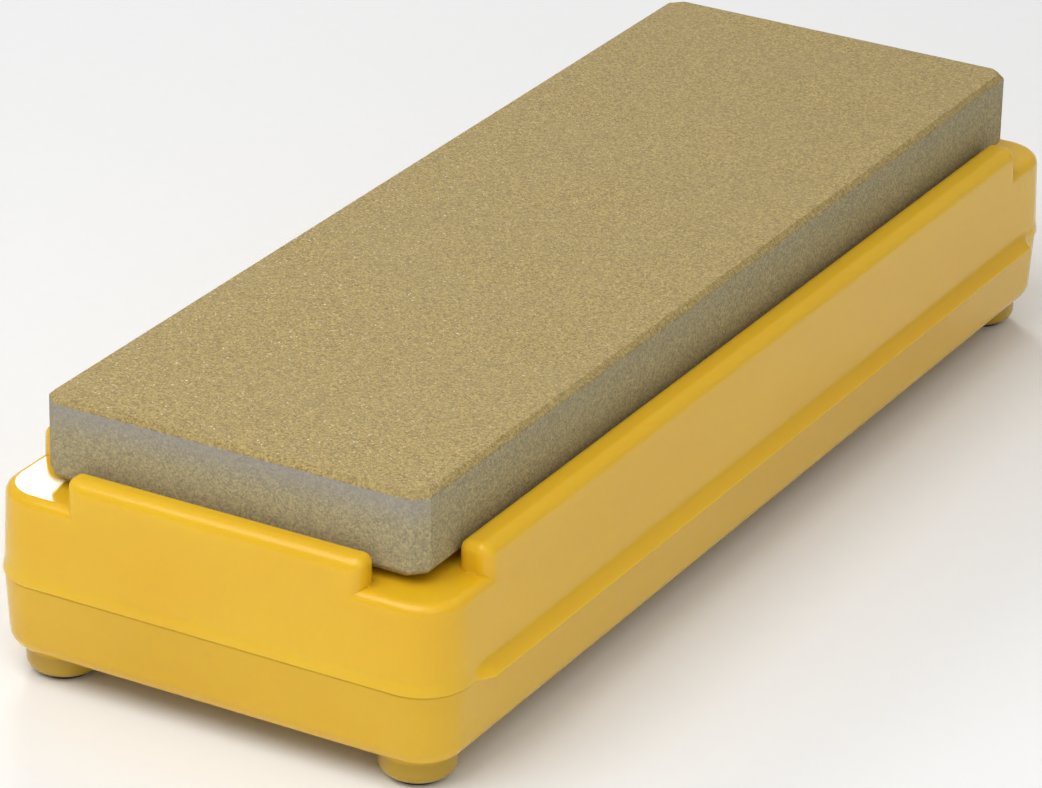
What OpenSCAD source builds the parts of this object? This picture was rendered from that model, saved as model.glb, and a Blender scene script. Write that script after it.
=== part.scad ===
// Sharpening whetstone lying on its own storage case.
// The case is a shallow box that parts at mid height. Its closed upper half is the
// base for sharpening: the stone lies on low ribs between four rims, with all four
// corners left open. When the work is done the stone is kept inside the box.
// +X runs across the stone, +Y along it and +Z up. The origin is on the table, under
// the middle of the case.

/* [Whetstone] */
// Length of the stone
stone_l = 210; // [190:0.5:210.5]
// Width of the stone
stone_w = 70; // [60:0.5:70.5]
// Thickness of the stone
stone_t = 15; // [8:0.5:20]
// Flat cut on each upright corner of the stone
stone_corner = 2.2; // [1:0.1:5]
// Bevel around the top face of the stone
stone_top_bevel = 0.9; // [0.3:0.1:1.5]
// Bevel around the bottom face of the stone
stone_bottom_bevel = 1.6; // [0.3:0.1:2]

/* [Case] */
// Length of the case where its halves meet
case_l = 223.2; // [222.5:0.1:240]
// Width of the case where its halves meet
case_w = 85.2; // [84.5:0.1:100]
// Radius of the case's upright corners
case_corner_r = 8.6; // [7:0.1:12]
// Thickness of the moulded walls
wall_t = 2; // [1.6:0.1:2.2]
// Height from the parting line down to the underside of the case
lower_h = 13.3; // [11:0.1:25]
// Height from the parting line up to the ledge around the stone
upper_h = 15.4; // [12:0.1:25]
// Moulding draft of the upper half, in degrees
upper_draft = 2.6; // [0.5:0.1:3]
// Moulding draft of the lower half, in degrees
lower_draft = 2.5; // [0.5:0.1:3]
// Radius along the bottom edge of the case
bottom_edge_r = 3.6; // [1:0.1:4]

/* [Seat for the stone] */
// Height of the rims above the ledge
rim_h = 5.1; // [3:0.1:7]
// Play between the stone and each rim
seat_gap = 0.8; // [0.3:0.1:1]
// Length of the rims along the two long sides
side_rim_l = 192; // [120:1:196]
// Length of the rims across the two short ends
end_rim_l = 54.5; // [30:0.5:60]
// Height of the ribs that the stone lies on
seat_rib_h = 0.8; // [0.4:0.1:1.5]

/* [Finger lips] */
// Length of the lip along each long side
lip_l = 202; // [60:1:204]
// How far each lip stands out
lip_out = 1.9; // [1:0.1:2.5]
// Height of each lip's sloped face
lip_slope_h = 2.4; // [1.5:0.1:4]
// Length of the slanted ends of each lip
lip_end = 2.9; // [1:0.1:6]

/* [Feet] */
// Distance of the feet from the middle, across the case
foot_x = 33.1; // [25:0.1:33.5]
// Distance of the feet from the middle, along the case
foot_y = 102.4; // [80:0.1:103]
// Diameter of the moulded boss where it meets the case
boss_d = 12.6; // [11:0.1:13]
// Diameter of the rubber foot
pad_d = 8.6; // [6:0.1:9]
// Height of the rubber foot below its boss
pad_h = 0.6; // [0.5:0.1:2]
// Height of the boss below the case
boss_h = 4.1; // [2.5:0.1:5]

/* [Hidden] */
$fn = 48;

// Heights above the table
base_z = pad_h + boss_h;
floor_z = base_z + wall_t;
seam_z = base_z + lower_h;
ledge_z = seam_z + upper_h;
ceiling_z = ledge_z - wall_t;
rim_z = ledge_z + rim_h;
stone_z = ledge_z + seat_rib_h;

// How much narrower each drafted half is at its far end than at the parting line, per side
upper_inset = (rim_z - seam_z) * tan(upper_draft);
lower_inset = lower_h * tan(lower_draft);
// The upper half overhangs the lower one all round
overhang = 0.3;

// The seat between the rims
seat_w = stone_w + 2 * seat_gap;
seat_l = stone_l + 2 * seat_gap;
// A groove under each rim keeps its walls as thin as the rest
rim_core_w = 1.6;
seat_rib_w = 3;
seat_rib_x = stone_w / 4;
seat_rib_l = stone_l - 30;

// Lapped joint: a tongue on the lower half stands inside the upper half's skirt
tongue_t = 0.9;
tongue_h = 2.5;
tongue_play = 0.15;
lap_t = wall_t - tongue_t - tongue_play;

// Slots let a wet stone drain and dry
slot_w = 3;
slot_l = 34;
slot_pitch = 48;
slots_in_row = 4;

// Ribs across the floor, between the slots, keep the stored stone out of its own drips
floor_rib_h = 1.2;
floor_rib_w = 1.6;

// The boss is round at its lower edge; the foot's stem is squeezed into it
boss_edge_r = 1.7;
socket_d = 4.4;
socket_depth = 4.2;
stem_d = 4.5;
stem_l = 3.6;
pad_edge = 0.2;

thin = 0.01;
over = 5;

// Upright prism with a rounded rectangle for its outline
module slab(w, l, r, z, h) {
    translate([0, 0, z]) linear_extrude(h) union() {
        square([w - 2 * r, l], center = true);
        square([w, l - 2 * r], center = true);
        for (sx = [-1, 1], sy = [-1, 1])
            translate([sx * (w / 2 - r), sy * (l / 2 - r)]) circle(r);
    }
}

// The case's outline moved inward by `inset` all round
module case_slab(inset, z, h = thin) {
    slab(case_w - 2 * inset, case_l - 2 * inset, case_corner_r - inset, z, h);
}

// Rows of drain slots, cut downward from z
module drain_slots(z) {
    for (sx = [-1, 1], i = [0 : slots_in_row - 1])
        translate([sx * stone_w / 8, (i - (slots_in_row - 1) / 2) * slot_pitch, z])
            slab(slot_w, slot_l, slot_w / 2 - thin, -wall_t - over, wall_t + 2 * over);
}

// Bar with a sloped top and slanted ends that stands out from a long side at the seam
module finger_lip() {
    root = 2;
    edge = 0.4;
    translate([case_w / 2 - root, 0, seam_z]) difference() {
        rotate([90, 0, 0]) linear_extrude(lip_l, center = true) polygon([
            [0, 0],
            [root + lip_out, 0],
            [root + lip_out, edge],
            [root - 0.1, lip_slope_h],
            [0, lip_slope_h]
        ]);
        for (my = [0, 1]) mirror([0, my, 0])
            translate([root, lip_l / 2, -over]) rotate(-atan2(lip_end, lip_out))
                translate([-over, 0, 0]) cube([3 * over, 2 * over, 3 * over]);
    }
}

module upper_case() color([0.93, 0.74, 0.22]) difference() {
    union() {
        difference() {
            union() {
                hull() {
                    case_slab(0, seam_z);
                    case_slab(upper_inset, rim_z - thin);
                }
                finger_lip();
                mirror([1, 0, 0]) finger_lip();
            }
            // The seat, open at its four corners
            translate([-seat_w / 2, -seat_l / 2, ledge_z]) cube([seat_w, seat_l, over + rim_h]);
            for (mx = [0, 1], my = [0, 1]) mirror([mx, 0, 0]) mirror([0, my, 0])
                translate([end_rim_l / 2, side_rim_l / 2, ledge_z])
                    cube([case_w / 2, case_l / 2, over + rim_h]);
        }
        // Ribs under the stone
        for (sx = [-1, 1])
            translate([sx * seat_rib_x - seat_rib_w / 2, -seat_rib_l / 2, ledge_z - thin])
                cube([seat_rib_w, seat_rib_l, seat_rib_h + thin]);
    }
    // The hollow inside, with a step at its mouth for the tongue
    hull() {
        case_slab(wall_t, seam_z - thin);
        case_slab(wall_t + upper_h * tan(upper_draft), ceiling_z - thin);
    }
    case_slab(lap_t, seam_z - over, over + tongue_h + 0.3);
    rim_cores();
    drain_slots(ledge_z);
}

// Grooves under the rims, open to the inside of the case
module rim_cores() {
    depth = rim_h;
    side_x = (seat_w + case_w - 2 * upper_inset) / 4;
    end_y = (seat_l + case_l - 2 * upper_inset) / 4;
    for (s = [-1, 1]) {
        translate([s * side_x, 0, ceiling_z + depth / 2])
            cube([rim_core_w, side_rim_l - 2 * wall_t, depth], center = true);
        translate([0, s * end_y, ceiling_z + depth / 2])
            cube([end_rim_l - 2 * wall_t, rim_core_w, depth], center = true);
    }
}

// Boss under one corner of the case, around the foot's stem
module foot_boss() {
    rotate_extrude() polygon(concat(
        [[0, floor_z], [0, pad_h]],
        [for (a = [0 : 22.5 : 90]) [
            boss_d / 2 - boss_edge_r * (1 - sin(a)),
            pad_h + boss_edge_r * (1 - cos(a))
        ]],
        [[boss_d / 2, floor_z]]
    ));
}

module lower_case() color([0.88, 0.68, 0.2]) difference() {
    union() {
        difference() {
            union() {
                hull() {
                    case_slab(overhang, seam_z - thin);
                    for (a = [0 : 22.5 : 90])
                        case_slab(
                            overhang + lower_inset + bottom_edge_r * (1 - sin(a)),
                            base_z + bottom_edge_r * (1 - cos(a))
                        );
                }
                case_slab(lap_t + tongue_play, seam_z - 1, 1 + tongue_h);
            }
            hull() {
                case_slab(wall_t, seam_z);
                case_slab(overhang + lower_inset + wall_t, floor_z + 2);
                case_slab(overhang + lower_inset + wall_t + 2, floor_z);
            }
            case_slab(wall_t, seam_z - thin, over);
            drain_slots(floor_z);
        }
        for (i = [-1 : 1])
            translate([0, i * slot_pitch, floor_z + (floor_rib_h - thin) / 2])
                cube([stone_w / 2, floor_rib_w, floor_rib_h + thin], center = true);
        for (sx = [-1, 1], sy = [-1, 1]) translate([sx * foot_x, sy * foot_y, 0]) foot_boss();
    }
    for (sx = [-1, 1], sy = [-1, 1])
        translate([sx * foot_x, sy * foot_y, pad_h - thin])
            cylinder(h = socket_depth + thin, d = socket_d);
}

// Rubber button whose stem is pressed up into a boss
module rubber_foot(sx, sy) color([0.09, 0.09, 0.09])
    translate([sx * foot_x, sy * foot_y, 0]) rotate_extrude() polygon([
        [0, 0],
        [pad_d / 2 - pad_edge, 0],
        [pad_d / 2, pad_edge],
        [pad_d / 2, pad_h],
        [stem_d / 2, pad_h],
        [stem_d / 2, pad_h + stem_l],
        [0, pad_h + stem_l]
    ]);

// Long bar, seen end on: `w` wide, with the stone's height and its top and bottom bevels
module bevelled_bar(w) {
    t = stone_t;
    a = stone_bottom_bevel;
    b = stone_top_bevel;
    rotate([90, 0, 0]) linear_extrude(2 * stone_l, center = true) polygon([
        [a - w / 2, 0], [w / 2 - a, 0], [w / 2, a], [w / 2, t - b],
        [w / 2 - b, t], [b - w / 2, t], [-w / 2, t - b], [-w / 2, a]
    ]);
}

// A bevelled block whose upright corners are cut off, bevelled along every edge
module whetstone() color([0.7, 0.62, 0.42]) translate([0, 0, stone_z]) {
    across_corners = (stone_w + stone_l - 2 * stone_corner) / sqrt(2);
    intersection() {
        bevelled_bar(stone_w);
        rotate(90) bevelled_bar(stone_l);
        rotate(45) bevelled_bar(across_corners);
        rotate(-45) bevelled_bar(across_corners);
    }
}

lower_case();
upper_case();
whetstone();
rubber_foot(-1, -1);  // foot_front_left
rubber_foot(1, -1);  // foot_front_right
rubber_foot(-1, 1);  // foot_rear_left
rubber_foot(1, 1);  // foot_rear_right
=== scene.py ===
"""A ceramic whetstone lying on its closed plastic storage case, which stands on rubber feet.

Sizes are in millimetres while a piece is built, and each mesh is scaled to metres when it is done.
The camera, the lights and the floor are in metres.
"""
import math
from collections import namedtuple

import bmesh
import bpy
from mathutils import Matrix, Vector, noise


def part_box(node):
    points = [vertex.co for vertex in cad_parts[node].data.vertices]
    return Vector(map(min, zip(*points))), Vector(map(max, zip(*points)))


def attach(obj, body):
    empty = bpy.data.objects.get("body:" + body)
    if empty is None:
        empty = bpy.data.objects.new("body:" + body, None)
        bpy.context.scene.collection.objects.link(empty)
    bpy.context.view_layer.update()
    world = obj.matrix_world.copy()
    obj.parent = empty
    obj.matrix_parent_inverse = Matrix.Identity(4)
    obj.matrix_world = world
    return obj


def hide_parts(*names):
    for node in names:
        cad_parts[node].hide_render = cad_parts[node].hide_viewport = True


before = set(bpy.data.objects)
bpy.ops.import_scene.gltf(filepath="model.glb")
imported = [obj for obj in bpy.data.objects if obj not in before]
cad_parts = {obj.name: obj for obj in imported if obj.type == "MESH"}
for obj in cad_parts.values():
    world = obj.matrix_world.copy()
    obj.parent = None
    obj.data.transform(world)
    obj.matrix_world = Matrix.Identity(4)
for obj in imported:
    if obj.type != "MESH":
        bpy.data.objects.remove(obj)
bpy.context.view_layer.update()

MM = 0.001


# ---------------------------------------------------------------- sizes

def box_mm(node):
    """Lowest and highest corner of a CAD node, in millimetres."""
    low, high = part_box(node)
    return low / MM, high / MM


stone_low, stone_high = box_mm("whetstone")
upper_low, upper_high = box_mm("upper_case")
lower_low, lower_high = box_mm("lower_case")

LIP_OUT = 1.9            # how far the finger lips stand out
CASE_X = upper_high.x - LIP_OUT
CASE_Y = upper_high.y
CORNER_R = 8.6           # upright corners of the case
WALL = 2.0               # thickness of walls, ledge and floor

SEAM_Z = upper_low.z
RIM_Z = upper_high.z
RIM_H = 5.1              # rims above the ledge
LEDGE_Z = RIM_Z - RIM_H
CEILING_Z = LEDGE_Z - WALL
BASE_Z = 4.7             # underside of the case above the table
FLOOR_Z = BASE_Z + WALL

SEAT_GAP = 0.8           # play between the stone and the rims
SEAT_X = stone_high.x + SEAT_GAP
SEAT_Y = stone_high.y + SEAT_GAP
SIDE_RIM_Y = 96.0        # half length of the rims along the long sides
END_RIM_X = 27.25        # half length of the rims across the ends
SEAT_RIB_H = stone_low.z - LEDGE_Z

LIP_Y = 101.0            # half length of a finger lip, at the wall
LIP_END = 2.9            # length of its slanted end
LIP_TOP = 2.9            # height where its slope runs out in the wall
LEDGE_R = 1.7            # rounding of the ledge's outer edge
RIM_EDGE_R = 2.3         # the rims' outer top edge
RIM_INNER_R = 1.7        # their inner edges, along the top and upright at the ends
RIM_END_R = 1.6          # the top of their ends
RIM_UPRIGHT_R = 2.4      # the outer upright edge of their ends
RIM_ROOT_R = 0.5         # fillet where they rise from the ledge

UPPER_INSET = 0.945      # draft of the upper half, from the seam to the rims
FLARE = 0.22             # the skirt turns out by this much just above the seam
FLARE_FROM, FLARE_TO = 0.9, 2.3   # heights above the seam between which it does
OVERHANG = 0.3           # the upper half stands out past the lower one
LOWER_INSET = 0.58       # draft of the lower half
BOTTOM_R = 3.6           # its rounded bottom edge

TONGUE_H = lower_high.z - SEAM_Z
TONGUE_IN = 1.1          # the tongue's outer face, inside the case's outline
LAP_IN = 0.95            # the skirt's inner face around the tongue

SLOT_X, SLOT_Y = 1.5, 17.0   # half width and half length of a drain slot
SLOT_ROW_X = 8.75        # the two rows of slots, from the middle
SLOT_PITCH = 48.0        # from one slot of a row to the next
SLOT_PLACES = [
    (side * SLOT_ROW_X, step * SLOT_PITCH)
    for side in (-1, 1) for step in (-1.5, -0.5, 0.5, 1.5)
]

SEAT_RIB_X = 1.5         # half width of the ribs under the stone
SEAT_RIB_SHORT = 15.0    # they end this far from the stone's ends
FLOOR_RIB_Y = 0.8        # half width of the ribs on the lower half's floor
FLOOR_RIB_H = 1.2
RIB_SUNK = 0.5           # how far a rib reaches into the plate that carries it

FOOT_R = 4.3
FOOT_H = lower_low.z
SOCKET_R, SOCKET_H = 2.2, 4.2   # the hole in a boss that takes a foot's stem
FEET = {
    "foot_front_left": "front_left_foot",
    "foot_front_right": "front_right_foot",
    "foot_rear_left": "rear_left_foot",
    "foot_rear_right": "rear_right_foot",
}

CORNER_STEPS = 10        # faces round a quarter of an upright corner
TURN_STEPS = 64          # faces round a turned shape
CUTTER_PAST = 1.0        # how far a cutter runs past what it cuts
LEAST_R = 0.15           # the rounding left where an edge's rounding runs out


# ---------------------------------------------------------------- mesh helpers

def arc(start, end, steps):
    """Angles in radians from start to end degrees, both included."""
    return [math.radians(start + (end - start) * i / steps) for i in range(steps + 1)]


def smooth_step(value, low, high):
    """Rises softly from 0 at low to 1 at high."""
    t = min(1.0, max(0.0, (value - low) / (high - low)))
    return t * t * (3 - 2 * t)


def rounded_outline(half_x, half_y, radius, z):
    """A rounded rectangle at height z, anticlockwise."""
    points = []
    for quarter, (sx, sy) in enumerate(((1, 1), (-1, 1), (-1, -1), (1, -1))):
        centre = Vector((sx * (half_x - radius), sy * (half_y - radius), z))
        for angle in arc(quarter * 90, quarter * 90 + 90, CORNER_STEPS):
            points.append(centre + radius * Vector((math.cos(angle), math.sin(angle), 0)))
    return points


def loft(name, rings):
    """A closed mesh through rings of points that all have the same number of points."""
    bm = bmesh.new()
    rows = [[bm.verts.new(p) for p in ring] for ring in rings]
    count = len(rows[0])
    for lower, upper in zip(rows, rows[1:]):
        for i in range(count):
            j = (i + 1) % count
            bm.faces.new((lower[i], lower[j], upper[j], upper[i]))
    bm.faces.new(list(reversed(rows[0])))
    bm.faces.new(rows[-1])
    bmesh.ops.recalc_face_normals(bm, faces=bm.faces)
    return add_object(name, bm)


def lathe(name, profile, centre, steps=TURN_STEPS):
    """A turned shape from (radius, z) pairs, closed at both ends."""
    rings = []
    for radius, z in profile:
        rings.append([
            Vector((centre[0] + radius * math.cos(a), centre[1] + radius * math.sin(a), z))
            for a in (2 * math.pi * i / steps for i in range(steps))
        ])
    return loft(name, rings)


def block(name, centre, half, radius, profile):
    """A solid over a rounded rectangle that grows by out at height z, from (out, z) pairs."""
    rings = []
    for out, z in profile:
        ring = rounded_outline(half[0] + out, half[1] + out, radius + out, z)
        rings.append([p + Vector((centre[0], centre[1], 0)) for p in ring])
    return loft(name, rings)


def round_topped(low, high, edge_r):
    """(out, z) pairs of a straight block with a rounded top edge."""
    return [(0, low)] + [
        (-edge_r * (1 - math.cos(a)), high - edge_r * (1 - math.sin(a))) for a in arc(0, 90, 4)
    ]


def add_object(name, bm):
    mesh = bpy.data.meshes.new(name)
    bm.to_mesh(mesh)
    bm.free()
    obj = bpy.data.objects.new(name, mesh)
    bpy.context.scene.collection.objects.link(obj)
    return obj


def apply_modifiers(obj):
    graph = bpy.context.evaluated_depsgraph_get()
    mesh = bpy.data.meshes.new_from_object(obj.evaluated_get(graph))
    obj.modifiers.clear()
    obj.data = mesh


def combine(obj, operation, *others):
    """Unites obj with, or cuts it by, each of the others, which are used up."""
    for other in others:
        boolean = obj.modifiers.new("combine", "BOOLEAN")
        boolean.operation = operation
        boolean.solver = "EXACT"
        boolean.object = other
        apply_modifiers(obj)
        bpy.data.objects.remove(other)
    tidy_mesh(obj)


def tidy_mesh(obj, distance=0.002):
    """Joins points that lie on each other and removes edges that nothing needs."""
    bm = bmesh.new()
    bm.from_mesh(obj.data)
    bmesh.ops.remove_doubles(bm, verts=bm.verts, dist=distance)
    bmesh.ops.dissolve_degenerate(bm, edges=bm.edges, dist=distance / 2)
    bm.to_mesh(obj.data)
    bm.free()


def finish_piece(obj, materials, body, slot, *nodes, crease=30):
    """Scales a piece to metres, shades it, and ties it to the frame."""
    obj.data.transform(Matrix.Scale(MM, 4))
    for material in materials:
        obj.data.materials.append(material)
    obj.data.shade_smooth()
    obj.data.set_sharp_from_angle(angle=math.radians(crease))
    normals = obj.modifiers.new("flat_faces_stay_flat", "WEIGHTED_NORMAL")
    normals.keep_sharp = True
    normals.weight = 80
    apply_modifiers(obj)
    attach(obj, body)
    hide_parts(*nodes)


# ---------------------------------------------------------------- the case

Station = namedtuple("Station", "outer out inner height back inner_back")
Station.__doc__ = """A place around the upper half: a point on the case's outline, the way out
from there, the nearest point on the seat's edge, the height of the rim above the ledge, and
how far the rim's outer and inner faces stand back there, which rounds its upright edges."""


def case_ring(inset, z):
    """The case's outline moved inward by inset."""
    return rounded_outline(CASE_X - inset, CASE_Y - inset, CORNER_R - inset, z)


def rounding(past_start, radius):
    """How far an edge's rounding has cut in, at this distance past its start."""
    past = min(radius, max(0.0, past_start))
    return radius - math.sqrt(radius ** 2 - past ** 2)


def rim_end(limit):
    """(place along the wall, height, outer set-back, inner set-back) over a rim's end."""
    steps = []
    for a in arc(90, 0, 9):
        left = RIM_UPRIGHT_R * (1 - math.cos(a))
        steps.append((
            limit - left, RIM_H - rounding(RIM_END_R - left, RIM_END_R),
            rounding(RIM_UPRIGHT_R - left, RIM_UPRIGHT_R),
            rounding(RIM_INNER_R - left, RIM_INNER_R),
        ))
    steps.append((limit, RIM_H / 2, RIM_UPRIGHT_R, RIM_INNER_R))
    for a in arc(90, 0, 4):
        steps.append((
            limit + RIM_ROOT_R * (1 - math.sin(a)), RIM_ROOT_R * (1 - math.cos(a)),
            RIM_UPRIGHT_R, RIM_INNER_R,
        ))
    return steps


def quarter_stations():
    """Stations from the middle of the front end, round the corner, to the middle of the
    right side."""
    front, right = Vector((0, -1)), Vector((1, 0))
    stations = []
    middle = [(0, RIM_H, 0, 0), (END_RIM_X / 2, RIM_H, 0, 0)]
    for x, *shape in middle + rim_end(END_RIM_X):
        stations.append(Station(Vector((x, -CASE_Y)), front, Vector((x, -SEAT_Y)), *shape))
    # One station on the bare ledge, between the rim and the corner
    x = (END_RIM_X + CASE_X - CORNER_R) / 2 + 1
    stations.append(Station(Vector((x, -CASE_Y)), front, Vector((x, -SEAT_Y)), 0, 0, 0))
    # Round the corner; the seat's edge turns where the arc is half way
    centre = Vector((CASE_X - CORNER_R, CORNER_R - CASE_Y))
    for i, a in enumerate(arc(-90, 0, CORNER_STEPS)):
        out = Vector((math.cos(a), math.sin(a)))
        share = 2 * i / CORNER_STEPS
        inner = Vector((
            centre.x + (SEAT_X - centre.x) * min(1, share),
            -SEAT_Y + (centre.y + SEAT_Y) * max(0, share - 1),
        ))
        stations.append(Station(centre + out * CORNER_R, out, inner, 0, 0, 0))
    lip = [(-LIP_Y + LIP_END * share, 0, 0, 0) for share in (0, 0.06, 0.5, 0.94, 1)]
    ends = [(-along, *shape) for along, *shape in reversed(rim_end(SIDE_RIM_Y))]
    middle = [(-SIDE_RIM_Y / 2, RIM_H, 0, 0), (0, RIM_H, 0, 0)]
    for y, *shape in lip + ends + middle:
        stations.append(Station(Vector((CASE_X, y)), right, Vector((SEAT_X, y)), *shape))
    return stations


def all_stations():
    """The quarter's stations and their mirror images, anticlockwise from the front."""
    quarter = quarter_stations()

    def flipped(sx, sy, stations):
        flip = Vector((sx, sy))
        return [s._replace(outer=s.outer * flip, out=s.out * flip, inner=s.inner * flip)
                for s in stations]

    there, back = quarter[:-1], quarter[::-1][:-1]
    return there + flipped(1, -1, back) + flipped(-1, -1, there) + flipped(-1, 1, back)


def upper_inset(height):
    """How far the upper half's wall stands in from the case's outline, above the seam."""
    draft = (UPPER_INSET - FLARE) / (RIM_Z - SEAM_Z)
    return draft * height + FLARE * smooth_step(height, FLARE_FROM, FLARE_TO)


def lip_share(height):
    """The finger lip's reach above the seam, as a share of its full reach. It is full up to the
    edge, slopes in above it, and blends into the wall at the top."""
    edge, blend = 0.35, 0.9
    start, slope_h = LIP_TOP - blend, LIP_TOP - blend / 2 - edge
    if height <= edge:
        return 1.0
    if height < start:
        return 1 - (height - edge) / slope_h
    at_start = 1 - (start - edge) / slope_h
    return at_start * max(0.0, (LIP_TOP - height) / blend) ** 2


def wall_ring(stations, inset, z, lip=0.0):
    """A ring round the upper half's wall, with a share of the finger lips' reach."""
    ring = []
    for s in stations:
        reach = 0.0
        if s.out.y == 0:
            reach = LIP_OUT * lip * min(1.0, max(0.0, (LIP_Y - abs(s.outer.y)) / LIP_END))
        ring.append((s.outer + s.out * (reach - inset)).to_3d() + Vector((0, 0, z)))
    return ring


def rim_rows(station):
    """A section over the rim or the bare ledge. The first list holds (inset from the wall,
    height above the ledge) and the second (distance out from the seat's edge, height)."""
    height, back = station.height, station.back
    outer, steps = [], 5
    full_turn = height == 0 or back >= LEDGE_R
    turn = math.pi / 2 if full_turn else math.acos(1 - back / LEDGE_R)
    for i in range(steps + 1):
        a = turn * i / steps
        outer.append((LEDGE_R * (1 - math.cos(a)), LEDGE_R * (math.sin(a) - 1)))
    foot, foot_z = outer[-1]
    if height > 0:
        foot = max(foot, back)
        outer[-1] = (foot, foot_z)
    top_r = min(max(LEAST_R, RIM_EDGE_R - back), height - foot_z)
    for a in arc(0, 90, 8):
        outer.append((foot + top_r * (1 - math.cos(a)), height - top_r * (1 - math.sin(a))))
    face = station.inner_back
    inner_r = min(max(LEAST_R, RIM_INNER_R - face), height / 2)
    root_r = min(RIM_ROOT_R, height / 2)
    inner = []
    for a in arc(90, 0, 6):
        inner.append((face + inner_r * (1 - math.cos(a)), height - inner_r * (1 - math.sin(a))))
    for a in arc(0, 90, 3):
        inner.append((face - root_r * (1 - math.cos(a)), root_r * (1 - math.sin(a))))
    return outer, inner


def upper_case():
    """The upper half: skirt with lips, ledge, seat and four rims."""
    stations = all_stations()
    edge_r, ceiling_r = 0.3, 1.2
    room_over_tongue = 0.3
    lap_draft, lead_in, lead_in_h = 0.1, 0.1, 0.2
    rings = []
    # Inside, from the middle of the ceiling outward and down to the mouth
    inner = WALL + upper_inset(CEILING_Z - SEAM_Z)
    for a in arc(0, 90, 4):
        rings.append(wall_ring(
            stations, inner + ceiling_r * (1 - math.sin(a)),
            CEILING_Z - ceiling_r * (1 - math.cos(a)),
        ))
    step_z = SEAM_Z + TONGUE_H + room_over_tongue
    rings.append(wall_ring(stations, WALL + upper_inset(step_z - SEAM_Z), step_z))
    rings.append(wall_ring(stations, LAP_IN + lap_draft, step_z))
    rings.append(wall_ring(stations, LAP_IN, SEAM_Z + lead_in_h))
    rings.append(wall_ring(stations, LAP_IN - lead_in, SEAM_Z))
    # Outside, up from the mouth to the foot of the ledge's rounded edge
    for a in arc(0, 90, 4):
        height = edge_r * (1 - math.cos(a))
        rings.append(wall_ring(stations, edge_r * (1 - math.sin(a)), SEAM_Z + height, 1.0))
    close_heights = (0.5, 0.9, 1.2, 1.5, 1.8, 2.1, 2.35, 2.6, 2.9, 3.2)   # over lips and flare
    for height in close_heights:
        rings.append(wall_ring(
            stations, upper_inset(height), SEAM_Z + height, lip_share(height)))
    # Over the rims and the ledge, and down into the seat
    sections = [rim_rows(s) for s in stations]
    for row in range(len(sections[0][0])):
        ring = []
        for s, (outer, _) in zip(stations, sections):
            inset, rise = outer[row]
            z = LEDGE_Z + rise
            place = s.outer - s.out * (inset + upper_inset(z - SEAM_Z))
            ring.append(place.to_3d() + Vector((0, 0, z)))
        rings.append(ring)
    for row in range(len(sections[0][1])):
        ring = []
        for s, (_, inner_rows) in zip(stations, sections):
            out, rise = inner_rows[row]
            ring.append((s.inner + s.out * out).to_3d() + Vector((0, 0, LEDGE_Z + rise)))
        rings.append(ring)
    case = loft("upper_case_half", rings)
    tidy_mesh(case)
    for side in (-1, 1):
        combine(case, "UNION", block(
            "rib", (side * stone_high.x / 2, 0), (SEAT_RIB_X, stone_high.y - SEAT_RIB_SHORT),
            radius=1.4,
            profile=round_topped(LEDGE_Z - RIB_SUNK, LEDGE_Z + SEAT_RIB_H, edge_r=0.25),
        ))
    for cutter in rim_cores() + slot_cutters(LEDGE_Z):
        combine(case, "DIFFERENCE", cutter)
    return case


def rim_cores():
    """Cutters for the grooves under the rims."""
    half, radius = 0.8, 0.75
    profile = [(0, CEILING_Z - CUTTER_PAST), (0, CEILING_Z + RIM_H)]
    side_x = (SEAT_X + CASE_X - UPPER_INSET) / 2
    end_y = (SEAT_Y + CASE_Y - UPPER_INSET) / 2
    cores = []
    for side in (-1, 1):
        cores.append(block(
            "core", (side * side_x, 0), (half, SIDE_RIM_Y - WALL), radius, profile))
        cores.append(block(
            "core", (0, side * end_y), (END_RIM_X - WALL, half), radius, profile))
    return cores


def slot_cutters(top_z):
    """Cutters for the drain slots in a plate whose top is at top_z. They widen towards both
    faces, which leaves the slots with rounded edges."""
    edge_r, low = 0.3, top_z - WALL
    turns = arc(10, 90, 3)
    profile = [(edge_r, low - CUTTER_PAST)]
    for a in turns:
        profile.append((edge_r * (1 - math.sin(a)), low + edge_r * (1 - math.cos(a))))
    for a in reversed(turns):
        profile.append((edge_r * (1 - math.sin(a)), top_z - edge_r * (1 - math.cos(a))))
    profile.append((edge_r, top_z + CUTTER_PAST))
    end_r = SLOT_X - 0.02   # all but full round
    return [block("slot", place, (SLOT_X, SLOT_Y), end_r, profile) for place in SLOT_PLACES]


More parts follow.
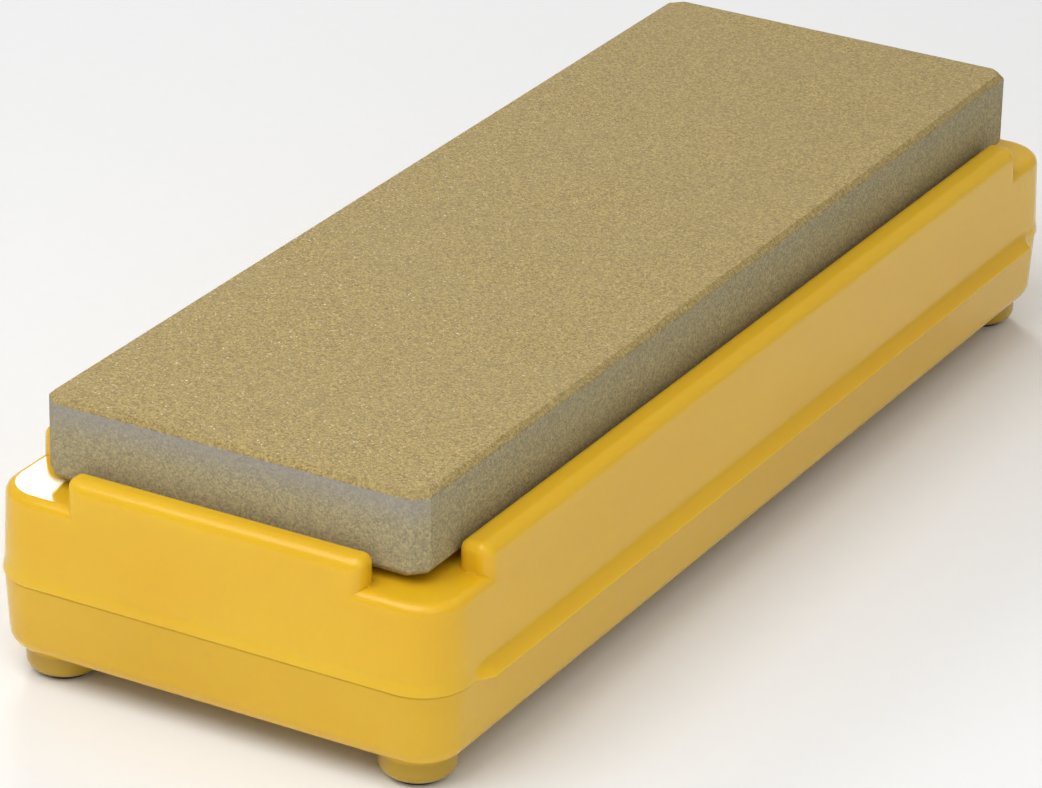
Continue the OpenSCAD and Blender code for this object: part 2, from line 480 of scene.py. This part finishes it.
def lower_case():
    """The lower half: a tub with a tongue around its mouth and four foot bosses."""
    edge_r, tongue_r, floor_r = 0.35, 0.25, 2.4
    outer = OVERHANG + LOWER_INSET
    rings = []
    # Outside, from the middle of the underside outward and up to the seam
    for a in arc(0, 90, 8):
        rings.append(case_ring(
            outer + BOTTOM_R * (1 - math.sin(a)), BASE_Z + BOTTOM_R * (1 - math.cos(a))
        ))
    for a in arc(90, 0, 4):
        rings.append(case_ring(
            OVERHANG + edge_r * (1 - math.sin(a)), SEAM_Z - edge_r * (1 - math.cos(a))
        ))
    # The tongue, up its outer face and over its rounded top
    rings.append(case_ring(TONGUE_IN, SEAM_Z))
    for a in arc(90, 0, 3):
        rings.append(case_ring(
            TONGUE_IN + tongue_r * (1 - math.sin(a)),
            SEAM_Z + TONGUE_H - tongue_r * (1 - math.cos(a)),
        ))
    for a in arc(0, 90, 3):
        rings.append(case_ring(
            WALL - tongue_r * (1 - math.sin(a)),
            SEAM_Z + TONGUE_H - tongue_r * (1 - math.cos(a)),
        ))
    # Inside, down to the floor
    for a in arc(90, 0, 6):
        rings.append(case_ring(
            outer + WALL + floor_r * (1 - math.sin(a)), FLOOR_Z + floor_r * (1 - math.cos(a))
        ))
    case = loft("lower_case_half", rings)

    for x, y in foot_centres().values():
        combine(case, "UNION", foot_boss(x, y))
        hole = [(SOCKET_R, FOOT_H - CUTTER_PAST), (SOCKET_R, FOOT_H + SOCKET_H)]
        combine(case, "DIFFERENCE", lathe("socket", hole, (x, y), TURN_STEPS // 2))
    for step in (-1, 0, 1):
        combine(case, "UNION", block(
            "rib", (0, step * SLOT_PITCH), (stone_high.x / 2, FLOOR_RIB_Y), radius=0.75,
            profile=round_topped(FLOOR_Z - RIB_SUNK, FLOOR_Z + FLOOR_RIB_H, edge_r=0.3),
        ))
    for cutter in slot_cutters(FLOOR_Z):
        combine(case, "DIFFERENCE", cutter)
    return case


def foot_centres():
    """Centre of each foot, from its CAD node."""
    centres = {}
    for node in FEET:
        low, high = box_mm(node)
        centres[node] = ((low.x + high.x) / 2, (low.y + high.y) / 2)
    return centres


def foot_boss(x, y):
    """Round-bottomed boss that carries a foot under the case."""
    radius, edge_r = 6.3, 2.1
    below_floor, below_base = 0.3, 0.2
    profile = [(radius, FLOOR_Z - below_floor), (radius, BASE_Z - below_base)]
    for a in arc(0, 90, 8):
        profile.append((radius - edge_r * (1 - math.cos(a)), FOOT_H + edge_r * (1 - math.sin(a))))
    return lathe("boss", profile, (x, y))


def rubber_foot(name, x, y):
    """Button with a rounded rim, a dish and a shallow ring groove in its tread, and its stem."""
    edge_r, top_bevel, top_bevel_h = 0.2, 0.12, 0.15
    middle_r, dish_r, dish_side, dish = 0.6, 2.1, 0.2, 0.12
    groove_r, groove_side, groove_floor, groove = 2.6, 0.1, 0.25, 0.15
    stem_root_r, stem_r, stem_tip_r = 2.3, 2.25, 1.9
    stem_h, stem_tip_h = 3.2, 0.4
    profile = [(middle_r, dish), (dish_r, dish), (dish_r + dish_side, 0.0), (groove_r, 0.0)]
    profile += [
        (groove_r + groove_side, groove),
        (groove_r + groove_side + groove_floor, groove),
        (groove_r + 2 * groove_side + groove_floor, 0.0),
    ]
    for a in arc(0, 90, 5):
        profile.append((FOOT_R - edge_r * (1 - math.sin(a)), edge_r * (1 - math.cos(a))))
    profile += [(FOOT_R, FOOT_H - top_bevel_h), (FOOT_R - top_bevel, FOOT_H)]
    profile += [(stem_root_r, FOOT_H), (stem_r, FOOT_H + stem_h)]
    profile.append((stem_tip_r, FOOT_H + stem_h + stem_tip_h))
    return lathe(name, profile, (x, y))


# ---------------------------------------------------------------- the stone

STONE_CUT = 2.2          # cut off each upright corner, along both sides


def stone_corners(inset):
    """Corners of the stone's outline, anticlockwise, moved inward by inset."""
    x, y = stone_high.x - inset, stone_high.y - inset
    plan = [(x - STONE_CUT, -y), (x, STONE_CUT - y), (x, y - STONE_CUT), (x - STONE_CUT, y)]
    return [Vector(p) for p in plan + [(-px, -py) for px, py in plan]]


def stone_outline(inset, z, wobble=0.0):
    """A ring of closely spaced points at height z, made slightly uneven by wobble."""
    spacing, wide, fine = 1.5, 0.9, 3.1
    full, corners = stone_corners(0), stone_corners(inset)
    ring = []
    for i, corner in enumerate(corners):
        following = (i + 1) % len(corners)
        steps = max(2, round((full[following] - full[i]).length / spacing))
        for step in range(steps):
            point = corner.lerp(corners[following], step / steps).to_3d()
            point.z = z
            out = Vector((point.x / stone_high.x, point.y / stone_high.y, 0)).normalized()
            rough = noise.noise(point * wide) + 0.6 * noise.noise(point * fine)
            ring.append(point + out * wobble * rough)
    return ring


def whetstone():
    """Ground block with cut corners and bevelled edges, very slightly uneven along them."""
    soft, top_bevel, bottom_bevel = 0.22, 0.9, 1.6
    low_wobble, top_wobble = 0.03, 0.035
    bottom, top = stone_low.z, stone_high.z
    stone = loft("sharpening_stone", [
        stone_outline(bottom_bevel + 1.0, bottom),
        stone_outline(bottom_bevel + 0.1, bottom),
        stone_outline(bottom_bevel - soft * 0.5, bottom + soft * 0.5, low_wobble),
        stone_outline(soft * 0.5, bottom + bottom_bevel - soft * 0.5, low_wobble),
        stone_outline(0, bottom + bottom_bevel + soft),
        stone_outline(0, top - top_bevel - soft),
        stone_outline(soft * 0.35, top - top_bevel + soft * 0.3, top_wobble),
        stone_outline(top_bevel - soft * 0.3, top - soft * 0.35, top_wobble),
        stone_outline(top_bevel + soft, top),
        stone_outline(top_bevel + 1.5, top),
    ])
    # The faced top and its bevel show the golden surface, the rest is as fired
    for face in stone.data.polygons:
        face.material_index = 0 if face.center.z > top - top_bevel - soft * 0.4 else 1
    return stone


# ---------------------------------------------------------------- materials

class Nodes:
    """Short ways to add and join a material's nodes."""

    # Places of the colour mix node's sockets, whose names repeat for each data type
    MIX_SHARE, MIX_FIRST, MIX_SECOND, MIX_RESULT = 0, 6, 7, 2

    def __init__(self, name):
        self.material = bpy.data.materials.new(name)
        self.material.use_nodes = True
        self.tree = self.material.node_tree
        self.shader = self.tree.nodes["Principled BSDF"]
        self.place = self.add("ShaderNodeTexCoord").outputs["Object"]

    def fill(self, socket, value):
        """Joins an input to another node's output, or sets it to a constant."""
        if isinstance(value, bpy.types.NodeSocket):
            self.tree.links.new(value, socket)
        else:
            socket.default_value = value

    def add(self, kind, inputs=None, **settings):
        """A new node with its settings and with its inputs filled, by name or by place."""
        node = self.tree.nodes.new(kind)
        for name, value in settings.items():
            setattr(node, name, value)
        for name, value in (inputs or {}).items():
            self.fill(node.inputs[name], value)
        return node

    def set(self, **values):
        """Fills the shader's own inputs."""
        for name, value in values.items():
            self.fill(self.shader.inputs[name.replace("_", " ")], value)

    def noise(self, per_metre, detail=3.0, roughness=0.5, place=None):
        """Soft noise with this many waves to the metre."""
        return self.add("ShaderNodeTexNoise", {
            "Vector": place or self.place, "Scale": per_metre, "Detail": detail,
            "Roughness": roughness,
        }).outputs["Fac"]

    def remap(self, value, source, target):
        """Value, moved from the source range to the target range and held within it."""
        return self.add("ShaderNodeMapRange", {
            "Value": value, "From Min": source[0], "From Max": source[1],
            "To Min": target[0], "To Max": target[1],
        }).outputs["Result"]

    def mix(self, share, first, second):
        """First, with a share of second."""
        inputs = {self.MIX_SHARE: share, self.MIX_FIRST: first, self.MIX_SECOND: second}
        return self.add("ShaderNodeMix", inputs, data_type="RGBA").outputs[self.MIX_RESULT]

    def stretch(self, scale):
        """The place on the object, scaled along each axis."""
        return self.add("ShaderNodeMapping", {"Vector": self.place, "Scale": scale}).outputs[
            "Vector"]

    def bump(self, height, strength, distance, below=None):
        """A bumped normal, on top of the normal below where one is given."""
        inputs = {"Height": height, "Strength": strength, "Distance": distance}
        if below is not None:
            inputs["Normal"] = below
        return self.add("ShaderNodeBump", inputs).outputs["Normal"]


def moulded_plastic(name, colour, deep, boss_shade=None):
    """Glossy, slightly see-through yellow plastic with faint flow marks and fine rub marks.
    With dull, that colour takes over below the underside of the case, on the foot bosses."""
    n = Nodes(name)
    flow = n.noise(28, detail=2.0, roughness=0.4, place=n.stretch((1.0, 0.35, 1.6)))
    grain = n.noise(2600, detail=2.0)
    rub = n.noise(420, detail=4.0, roughness=0.65, place=n.stretch((1.0, 0.12, 1.0)))
    handling = n.noise(45, detail=2.0)
    rough = n.add("ShaderNodeMath", {
        0: n.remap(handling, (0.3, 0.7), (0.17, 0.21)),
        1: n.remap(rub, (0.3, 0.8), (0.0, 0.04)),
    }, operation="ADD").outputs[0]
    body = n.mix(n.remap(flow, (0.3, 0.7), (0.0, 1.0)), deep, colour)
    # Painted shade: below the case's underside the foot bosses take the darker shade colour
    if boss_shade:
        height = n.add("ShaderNodeSeparateXYZ", {"Vector": n.place}).outputs["Z"]
        blend = ((BASE_Z - 0.3) * MM, (BASE_Z + 0.4) * MM)
        body = n.mix(n.remap(height, blend, (1.0, 0.0)), body, boss_shade)
    n.set(
        Base_Color=body,
        Roughness=rough,
        IOR=1.45,
        Subsurface_Weight=0.65,
        Subsurface_Radius=(0.55, 0.75, 0.2),
        Subsurface_Scale=0.0022,
        Normal=n.bump(grain, 0.04, 0.00004, n.bump(flow, 0.05, 0.0004)),
    )
    return n.material


def abrasive(name, light, middle, dark, upper=None):
    """Fine fused grit: every grain takes its own tone between dark and light, and drifts
    towards middle in soft patches. With upper, the two ends are tinted with that colour, most
    of all near their top edge, and the long sides hardly at all."""
    n = Nodes(name)
    grit_per_metre = 3400.0
    grains = n.add("ShaderNodeTexVoronoi", {"Vector": n.place, "Scale": grit_per_metre})
    tone = n.add("ShaderNodeSeparateColor", {"Color": grains.outputs["Color"]})
    clumps = n.noise(1500, roughness=0.7)
    patch = n.noise(38, roughness=0.55)
    body = n.mix(tone.outputs[0], dark, light)
    body = n.mix(n.remap(tone.outputs[1], (0.0, 1.0), (0.05, 0.5)), body, middle)
    body = n.mix(n.remap(clumps, (0.3, 0.7), (0.35, 0.0)), body, dark)
    body = n.mix(n.remap(patch, (0.35, 0.65), (0.0, 0.2)), body, middle)
    if upper:
        place = n.add("ShaderNodeSeparateXYZ", {"Vector": n.place})
        along = n.add("ShaderNodeMath", {0: place.outputs["Y"]}, operation="ABSOLUTE")
        end, top = stone_high.y * MM, stone_high.z * MM
        end_band = (end - 4.0 * MM, end - 0.3 * MM)
        top_band = (top - 6.5 * MM, top - 1.2 * MM)
        at_end = n.remap(along.outputs[0], end_band, (0.2, 1.0))
        high = n.remap(place.outputs["Z"], top_band, (0.1, 0.6))
        share = n.add("ShaderNodeMath", {0: at_end, 1: high}, operation="MULTIPLY")
        body = n.mix(share.outputs[0], body, upper)
    sparkle = n.remap(tone.outputs[2], (0.95, 1.0), (0.0, 1.0))
    n.set(
        Base_Color=body,
        Roughness=n.remap(sparkle, (0.0, 1.0), (0.82, 0.4)),
        IOR=1.5,
        Normal=n.bump(clumps, 0.35, 0.00008),
    )
    return n.material


def foot_rubber():
    """Matte black rubber with a dusty bloom."""
    n = Nodes("foot_rubber")
    black, bloom = (0.012, 0.012, 0.011, 1), (0.07, 0.065, 0.05, 1)
    dust = n.noise(700, detail=4.0, roughness=0.6)
    n.set(
        Base_Color=n.mix(n.remap(dust, (0.5, 0.8), (0.0, 0.35)), black, bloom),
        Roughness=n.remap(dust, (0.3, 0.7), (0.62, 0.8)),
        Normal=n.bump(dust, 0.2, 0.0001),
    )
    return n.material


def floor_material():
    """Plain white paper."""
    n = Nodes("floor_paper")
    n.set(
        Base_Color=n.mix(n.noise(300), (0.93, 0.93, 0.93, 1), (0.95, 0.95, 0.95, 1)),
        Roughness=0.9,
        Specular_IOR_Level=0.2,
    )
    return n.material


# ---------------------------------------------------------------- camera, light and floor

CAMERA_AZIMUTH = 29.22   # degrees from straight in front, towards +X
CAMERA_ELEVATION = 24.95
CAMERA_ROLL = 1.26
CAMERA_DISTANCE = 0.8908  # metres
CAMERA_LENS = 180.8      # millimetres, for a sensor 36 mm wide
AIM_RIGHT = -0.00696     # where it looks, in metres from the middle of the stone's top face
AIM_UP = -0.02969


def view_frame(azimuth, elevation, roll=0.0):
    """Right, up and back vectors of a camera or a light in that direction from the object."""
    a, e, r = (math.radians(v) for v in (azimuth, elevation, roll))
    back = Vector((math.sin(a) * math.cos(e), -math.cos(a) * math.cos(e), math.sin(e)))
    right = Vector((math.cos(a), math.sin(a), 0))
    up = back.cross(right)
    return (math.cos(r) * right + math.sin(r) * up, math.cos(r) * up - math.sin(r) * right, back)


def add_facing(name, data, axes, place):
    """An object at place, turned to these right, up and back vectors."""
    obj = bpy.data.objects.new(name, data)
    obj.matrix_world = Matrix.Translation(place) @ Matrix(axes).transposed().to_4x4()
    bpy.context.scene.collection.objects.link(obj)
    return obj


def add_camera():
    """The camera, at the place that was solved from the stone's corners."""
    axes = view_frame(CAMERA_AZIMUTH, CAMERA_ELEVATION, CAMERA_ROLL)
    right, up, back = axes
    middle = Vector((0, 0, stone_high.z * MM))
    data = bpy.data.cameras.new("camera")
    data.lens = CAMERA_LENS
    data.sensor_width = 36
    data.clip_start = 0.05
    place = middle + right * AIM_RIGHT + up * AIM_UP + back * CAMERA_DISTANCE
    bpy.context.scene.camera = add_facing("camera", data, axes, place)


def add_softbox(name, azimuth, elevation, distance, size, power):
    """A square soft light that faces the object from the given direction."""
    axes = view_frame(azimuth, elevation)
    data = bpy.data.lights.new(name, "AREA")
    data.shape = "SQUARE"
    data.size = size
    data.energy = power
    add_facing(name, data, axes, axes[2] * distance)


def add_studio():
    """Even white surroundings, four soft lights and the paper that the case stands on."""
    world = bpy.data.worlds.new("studio")
    world.use_nodes = True
    background = world.node_tree.nodes["Background"]
    background.inputs["Color"].default_value = (1, 1, 1, 1)
    background.inputs["Strength"].default_value = 0.38
    bpy.context.scene.world = world
    bpy.context.scene.view_settings.view_transform = "Standard"
    add_softbox("key", azimuth=-15, elevation=59, distance=0.75, size=0.55, power=2.9)
    add_softbox("back", azimuth=218, elevation=28, distance=1.4, size=0.31, power=5.6)
    add_softbox("front_fill", azimuth=40, elevation=35, distance=0.55, size=0.4, power=0.5)
    add_softbox("side_fill", azimuth=130, elevation=55, distance=1.4, size=0.6, power=0.5)

    bm = bmesh.new()
    bmesh.ops.create_grid(bm, x_segments=8, y_segments=8, size=4.0)
    floor = add_object("floor", bm)
    floor.data.materials.append(floor_material())


# ---------------------------------------------------------------- build

def build():
    """The stone, the two halves of the case and the four feet, each tied to its CAD node."""
    plastic_up = moulded_plastic(
        "yellow_plastic", colour=(0.85, 0.53, 0.02, 1), deep=(0.81, 0.48, 0.014, 1))
    # Painted shade: the lower half is the same plastic as the upper one, made darker for its
    # dimmer light near the floor, and its bosses darker still for the shade under the case
    plastic_low = moulded_plastic(
        "yellow_plastic_lower_painted_shade", colour=(0.78, 0.485, 0.022, 1), deep=(0.74, 0.44, 0.016, 1),
        boss_shade=(0.50, 0.32, 0.025, 1))
    top = abrasive(
        "stone_face", light=(0.66, 0.48, 0.15, 1), middle=(0.38, 0.30, 0.14, 1),
        dark=(0.22, 0.15, 0.05, 1))
    side = abrasive(
        "stone_side", light=(0.62, 0.50, 0.22, 1), middle=(0.38, 0.34, 0.20, 1),
        dark=(0.21, 0.18, 0.095, 1), upper=(0.30, 0.29, 0.32, 1))
    rubber = foot_rubber()

    finish_piece(whetstone(), [top, side], "stone", "abrasive_ceramic", "whetstone", crease=20)
    finish_piece(upper_case(), [plastic_up], "case_top", "case_plastic", "upper_case")
    finish_piece(lower_case(), [plastic_low], "case_base", "case_plastic", "lower_case")
    for node, (x, y) in foot_centres().items():
        foot = rubber_foot(FEET[node], x, y)
        finish_piece(foot, [rubber], "case_base", "foot_rubber", node)


add_camera()
add_studio()
build()
